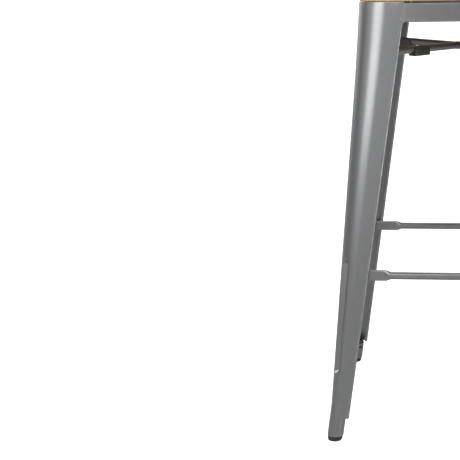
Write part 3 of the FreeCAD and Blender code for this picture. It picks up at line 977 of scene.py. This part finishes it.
class STOOL_OT_weld_beads(bpy.types.Operator):
    """Builds the weld beads that hold the rails, bars and brace to the legs"""
    bl_idname = "stool.weld_beads"
    bl_label = "Build Weld Beads"

    def execute(self, context):
        scene = context.scene
        lines, bars = LegLines(scene.stool_legs), scene.stool_bars
        arm = arm_rings(lines, bars, True)
        paths = weld_paths(lines, bars, arm[-1])
        for quarters, corner in enumerate(CORNERS):
            points, faces = [], []
            at_middle = [(arm[0], True)] if corner in ("rear_right", "front_left") else []
            for path, closed in paths + at_middle:
                join(points, faces, *sweep(bead_rings(path, bars.bead, closed), not closed))
            for side in (1, -1):
                join(points, faces, *sweep(ground_weld(lines, side), closed_ends=True))
            beads = make_piece(f"weld_beads_{corner}", turn(points, quarters), faces,
                               finish_for(scene, "painted_steel"), [0.3] * len(points))
            weld_points(beads.data, 0.005 * MM)
            keep_creases(beads, 50)
            settle(beads, "painted_steel")
        return {"FINISHED"}


def bumper_section(bars, small):
    """A bumper's outline across the tube, as (aside, up): a thick clip, open at the top."""
    radius = bars.brace / 2
    bore = radius + 0.05 * MM
    side = radius + small.bumper_wall
    bottom, corner, top, ease = -radius - 4.75 * MM, 2 * MM, 3.5 * MM, 0.8 * MM
    mouth = math.degrees(math.asin(top / bore))
    eased_top = [(side, top - ease), (side - 0.3 * ease, top - 0.3 * ease), (side - ease, top)]
    outline = arc(side - corner, bottom + corner, corner, -90, 0, 6) + eased_top
    outline += arc(0, 0, bore, mouth, -180 - mouth, 24)
    outline += [(-aside, up) for aside, up in reversed(eased_top)]
    return outline + arc(corner - side, bottom + corner, corner, 180, 270, 6)


def bumper_skin(bars, small, node_name):
    """A bumper's skin along +X +Y, drawn in a little towards both ends, with its bore kept at one size."""
    outline = bumper_section(bars, small)
    half, radius, ease = small.bumper_length / 2, bars.brace / 2, 0.7 * MM
    spans = ((-half, 0.3), (-half + 0.3 * ease, 0.08), (-half + ease, 0.0), (0.0, 0.0),
             (half - ease, 0.0), (half - 0.3 * ease, 0.08), (half, 0.3))
    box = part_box(node_name)
    reach = math.hypot(box[0][0] + box[1][0], box[0][1] + box[1][1]) / 2
    rings = []
    for along, draw_in in spans:
        ring = []
        for aside, up in outline:
            size = 1.0 if math.hypot(aside, up) < radius + 0.1 * MM else 1 - draw_in * ease / radius
            ring.append(from_diagonal(reach + along, aside * size, BRACE_LEVEL + up * size))
        rings.append(ring)
    rubs = [0.8 if up < -8 * MM else 0.2 for _ in spans for _, up in outline]
    return *sweep(rings, closed_ends=True), rubs


class STOOL_OT_stacking_bumpers(bpy.types.Operator):
    """Builds the plastic bumpers clipped under the brace, which the next stool's seat rests on"""
    bl_idname = "stool.stacking_bumpers"
    bl_label = "Build Stacking Bumpers"

    def execute(self, context):
        scene = context.scene
        for quarters, corner in enumerate(CORNERS):
            points, faces, rubs = bumper_skin(scene.stool_bars, scene.stool_small, f"bumper_{corner}")
            bumper = make_piece(f"bumper_clip_{corner}", turn(points, quarters), faces,
                                finish_for(scene, "bumper_plastic"), rubs)
            keep_creases(bumper, 40)
            settle(bumper, "bumper_plastic", f"bumper_{corner}")
        return {"FINISHED"}


def foot_skin(lines, small):
    """The rear right foot's skin, from the hollow under it up to the dished top of its plug."""
    plug = lines.s.foot_radius - lines.s.sheet - 0.15 * MM
    top = high("foot_rear_right")
    pad, rim = small.rubber_radius, small.rubber_height
    profile = [(3.0, 0.9), (5.5, 0.9), (6.2, 0.2), (6.8, 0.0), (9.6, 0.0), (10.6, 0.15), (11.5, 0.6),
               (12.1, 1.3), (12.45, 2.4), (12.7, 4.5)]
    profile = [(r * MM, z * MM, 0.7) for r, z in profile]
    profile += [(pad - 0.25 * MM, rim - 1.2 * MM, 0.2), (pad, rim - 0.6 * MM, 0.2), (pad, rim, 0.0),
                (plug, rim + 0.05 * MM, 0.0), (plug, top - 1.5 * MM, 0.0),
                (plug - 0.4 * MM, top - 0.5 * MM, 0.2), (plug - 1.4 * MM, top, 0.2), (plug - 4 * MM, top, 0.0),
                (plug - 4.6 * MM, top - 1.2 * MM, 0.0), (3 * MM, top - 1.2 * MM, 0.0)]
    around = 56
    rings, rubs = [], []
    for radius, z, rub in profile:
        axis = lines.foot_axis(z)
        rings.append([(x, y, z) for x, y in circle(axis, axis, radius, around)])
        rubs += [rub] * around
    return *sweep(rings, closed_ends=True), rubs


class STOOL_OT_rubber_feet(bpy.types.Operator):
    """Builds the rubber feet with the plugs that hold them in the rolled tubes"""
    bl_idname = "stool.rubber_feet"
    bl_label = "Build Rubber Feet"

    def execute(self, context):
        scene = context.scene
        skin = foot_skin(LegLines(scene.stool_legs), scene.stool_small)
        turned_pieces(scene, "rubber_foot", CORNERS, skin, "foot_rubber", "foot",
                      lambda foot: add_bevel(foot, 0.15 * MM, 60))
        return {"FINISHED"}


def stave_outline(low_x, high_x, half, corner, inset, ease):
    """A stave's outline at one level. inset draws in the pad's own edge, and ease the glued sides."""
    at = half - inset
    radius = corner - inset
    knee = half - corner
    left_outer = low_x < -half + MM
    right_outer = high_x > half - MM
    left = -at if left_outer else low_x + ease
    right = at if right_outer else high_x - ease
    steps, run = 14, 10
    if left_outer:
        front = arc(-knee, -knee, radius, 180, 270, steps)
        front += [(-knee + (right + knee) * k / run, -at) for k in range(1, run + 1)]
    elif right_outer:
        front = [(left + (knee - left) * k / run, -at) for k in range(run)]
        front += arc(knee, -knee, radius, -90, 0, steps)
    else:
        front = [(left + (right - left) * k / run, -at) for k in range(run + 1)]
    return front + [(x, -y) for x, y in reversed(front)]


def stave_layers(small):
    """Levels of a stave's outlines, as (level, inset of the pad's edge, ease of the glued sides, rub)."""
    layers = []
    for across, up in arc(0, 0, small.seat_ease, 0, 90, 4):
        layers.append((SEAT_BOTTOM + small.seat_ease - across, small.seat_ease - up, 0.0, 0.5))
    layers += [(SEAT_BOTTOM + 6 * MM, 0.0, 0.0, 0.0), (SEAT_TOP - 8 * MM, 0.0, 0.0, 0.0)]
    for across, up in arc(0, 0, small.seat_round, 0, 90, 8):
        sink = small.seat_round - up
        layers.append((SEAT_TOP - sink, small.seat_round - across, max(small.glue_line - sink, 0.0), 0.5))
    return layers


class STOOL_OT_seat_staves(bpy.types.Operator):
    """Builds the wood seat pad from its glued staves"""
    bl_idname = "stool.seat_staves"
    bl_label = "Build Seat Staves"

    def execute(self, context):
        scene = context.scene
        small = scene.stool_small
        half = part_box("seat_stave_5")[1][0]
        for number, tone in enumerate((0.15, 0.8, 0.35, 0.95, 0.05), 1):
            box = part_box(f"seat_stave_{number}")
            rings, rubs = [], []
            for z, inset, ease, rub in stave_layers(small):
                outline = stave_outline(box[0][0], box[1][0], half, small.seat_corner, inset, ease)
                rings.append([(x, y, z) for x, y in outline])
                rubs += [rub] * len(outline)
            points, faces = sweep(rings, closed_ends=True)
            stave = make_piece(f"wood_stave_{number}", points, faces, finish_for(scene, "seat_wood"), rubs, tone)
            keep_creases(stave, 35)
            keep_faces_flat(stave)
            settle(stave, "seat_wood", f"seat_stave_{number}")
        return {"FINISHED"}


def screw_rings(x, y, head, rise):
    """Rings of one screw, from the star recess in its head up to its tip. head and rise are in millimetres."""
    profile = [(0.45, 1.25), (0.95, 1.25), (1.0, 0.1), (1.6, 0.0), (head - 1.3, 0.25), (head - 0.45, 0.95),
               (head, rise - 0.5), (head - 0.15, rise), (2.1, rise + 0.01), (2.1, rise + 11.0), (0.3, rise + 13.8)]
    rings = []
    for number, (radius, up) in enumerate(profile):
        ring = []
        for across, ahead in circle(0, 0, radius * MM, 30):
            size = 1.0
            if number < RECESS_RINGS:
                star = abs(across * across - ahead * ahead) / (radius * MM) ** 2
                size = 0.75 + 1.1 * star**3
            ring.append((x + across * size, y + ahead * size, SCREW_BOTTOM + up * MM))
        rings.append(ring)
    return rings


class STOOL_OT_seat_screws(bpy.types.Operator):
    """Builds the pan-head screws that hold the seat down from below"""
    bl_idname = "stool.seat_screws"
    bl_label = "Build Seat Screws"

    def execute(self, context):
        scene = context.scene
        lines = LegLines(scene.stool_legs)
        rise = LEG_TOP - lines.s.sheet - SCREW_BOTTOM
        shoulder = LEG_TOP - lines.s.rim
        from_face = lines.face(shoulder) - 14 * MM
        from_edge = lines.edge(shoulder) + 34 * MM
        points, faces = [], []
        for quarters in range(4):
            for x, y in ((from_face, from_edge), (from_edge, from_face)):
                rings = screw_rings(x, y, scene.stool_small.screw_head / 2 / MM, rise / MM)
                some, more = sweep(rings, closed_ends=True)
                join(points, faces, turn(some, quarters), more)
        screws = make_piece("screw_set", points, faces, finish_for(scene, "screw_steel"), [0.4] * len(points))
        settle(screws, "screw_steel", "seat_screws")
        return {"FINISHED"}


class STOOL_OT_stage(bpy.types.Operator):
    """Sets the pale floor, the soft lights and the camera"""
    bl_idname = "stool.stage"
    bl_label = "Set Stage"

    def execute(self, context):
        scene = context.scene
        stage = scene.stool_stage
        scene.view_settings.view_transform = "Standard"
        self.add_floor(scene, stage)
        self.add_room(scene, stage)
        for name, place, size, share_of_side in SOFT_BOXES:
            self.add_soft_box(scene, name, place, size, stage.side_light * share_of_side)
        self.add_soft_box(scene, "top_box", (-0.1, -0.9, 2.3), (1.8, 1.2), stage.top_light)
        self.add_camera(scene, stage)
        return {"FINISHED"}

    def add_floor(self, scene, stage):
        size = 40.0
        mesh = bpy.data.meshes.new("floor")
        corners = [(-size, -size, 0), (size, -size, 0), (size, size, 0), (-size, size, 0)]
        mesh.from_pydata(corners, [], [(0, 1, 2, 3)])
        material, tree, shader, _ = new_material("pale_floor")
        glow = times(tree, node(tree, "ShaderNodeLightPath").outputs["Is Camera Ray"], 0.85)
        feed_all(tree, shader, base_color=(*stage.floor, 1.0), roughness=0.6, emission_color=WHITE,
                 emission_strength=glow)
        mesh.materials.append(material)
        floor = bpy.data.objects.new("floor", mesh)
        scene.collection.objects.link(floor)

    def add_room(self, scene, stage):
        """White all round to look at, and dimmer in front of the stool than behind it for its reflections."""
        world = bpy.data.worlds.new("white_room")
        scene.world = world
        world.use_nodes = True
        tree = world.node_tree
        back = tree.nodes["Background"]
        depth = split_axes(tree, node(tree, "ShaderNodeTexCoord").outputs["Generated"])["Y"]
        behind = remap(tree, depth, 0.3, 0.75, 0.2, 2.4)
        ahead = remap(tree, depth, -0.2, -0.95, stage.room_light * 0.66, stage.room_light)
        mixed = node(tree, "ShaderNodeMix", data_type="FLOAT")
        tree.links.new(node(tree, "ShaderNodeLightPath").outputs["Is Camera Ray"], mixed.inputs["Factor"])
        tree.links.new(math_node(tree, "MAXIMUM", behind, ahead), mixed.inputs[2])
        mixed.inputs[3].default_value = 1.0
        tree.links.new(mixed.outputs[0], back.inputs["Strength"])
        back.inputs["Color"].default_value = WHITE

    def add_soft_box(self, scene, name, place, size, power):
        """A soft box that faces the stool: level if it stands beside it, and aimed down if it is high above."""
        data = bpy.data.lights.new(name, "AREA")
        data.shape = "RECTANGLE"
        data.size, data.size_y = size
        data.energy = power
        light = bpy.data.objects.new(name, data)
        light.location = place
        away = Vector(place) - Vector((0, 0, min(place[2], 1.2)))
        light.rotation_euler = away.to_track_quat("Z", "Y").to_euler()
        light.visible_camera = False
        scene.collection.objects.link(light)

    def add_camera(self, scene, stage):
        data = bpy.data.cameras.new("stool_camera")
        data.sensor_width = 36.0
        data.lens = stage.lens
        data.shift_x, data.shift_y = CAMERA_SHIFT
        camera = bpy.data.objects.new("stool_camera", data)
        camera.location = CAMERA_PLACE
        camera.rotation_euler = Euler([math.radians(a) for a in CAMERA_TURN])
        scene.collection.objects.link(camera)
        scene.camera = camera


# ---------------------------------------------------------------- the panel, and what runs in which order


class STOOL_PT_panel(bpy.types.Panel):
    """Lists the stool's pieces, sizes and finishes"""
    bl_label = "Bar Stool"
    bl_idname = "STOOL_PT_panel"
    bl_space_type = "VIEW_3D"
    bl_region_type = "UI"
    bl_category = "Stool"

    def draw(self, context):
        column = self.layout.column(align=True)
        for step in BUILD_STEPS:
            column.operator(step.bl_idname, text=step.bl_label)
        for title, groups in (("Legs", "stool_legs"), ("Bars", "stool_bars"), ("Small Parts", "stool_small"),
                              ("Finish", "stool_finish"), ("Stage", "stool_stage")):
            box = self.layout.box()
            box.label(text=title)
            sizes = getattr(context.scene, groups)
            for key in sizes.__annotations__:
                box.prop(sizes, key)


BUILD_STEPS = (STOOL_OT_leg_shells, STOOL_OT_apron_rails, STOOL_OT_footrest_bars, STOOL_OT_cross_brace,
               STOOL_OT_weld_beads, STOOL_OT_stacking_bumpers, STOOL_OT_rubber_feet, STOOL_OT_seat_staves,
               STOOL_OT_seat_screws, STOOL_OT_stage)
SIZE_GROUPS = {"stool_legs": StoolLegSizes, "stool_bars": StoolBarSizes, "stool_small": StoolSmallSizes,
               "stool_finish": StoolFinish, "stool_stage": StoolStage}


def register():
    for kind in (*SIZE_GROUPS.values(), *BUILD_STEPS, STOOL_PT_panel):
        bpy.utils.register_class(kind)
    for name, kind in SIZE_GROUPS.items():
        setattr(bpy.types.Scene, name, bpy.props.PointerProperty(type=kind))


def unregister():
    for name in SIZE_GROUPS:
        delattr(bpy.types.Scene, name)
    for kind in (STOOL_PT_panel, *reversed(BUILD_STEPS), *reversed(SIZE_GROUPS.values())):
        bpy.utils.unregister_class(kind)


def main():
    register()
    for step in BUILD_STEPS:
        group, action = step.bl_idname.split(".")
        getattr(getattr(bpy.ops, group), action)()


if __name__ == "__main__":
    main()
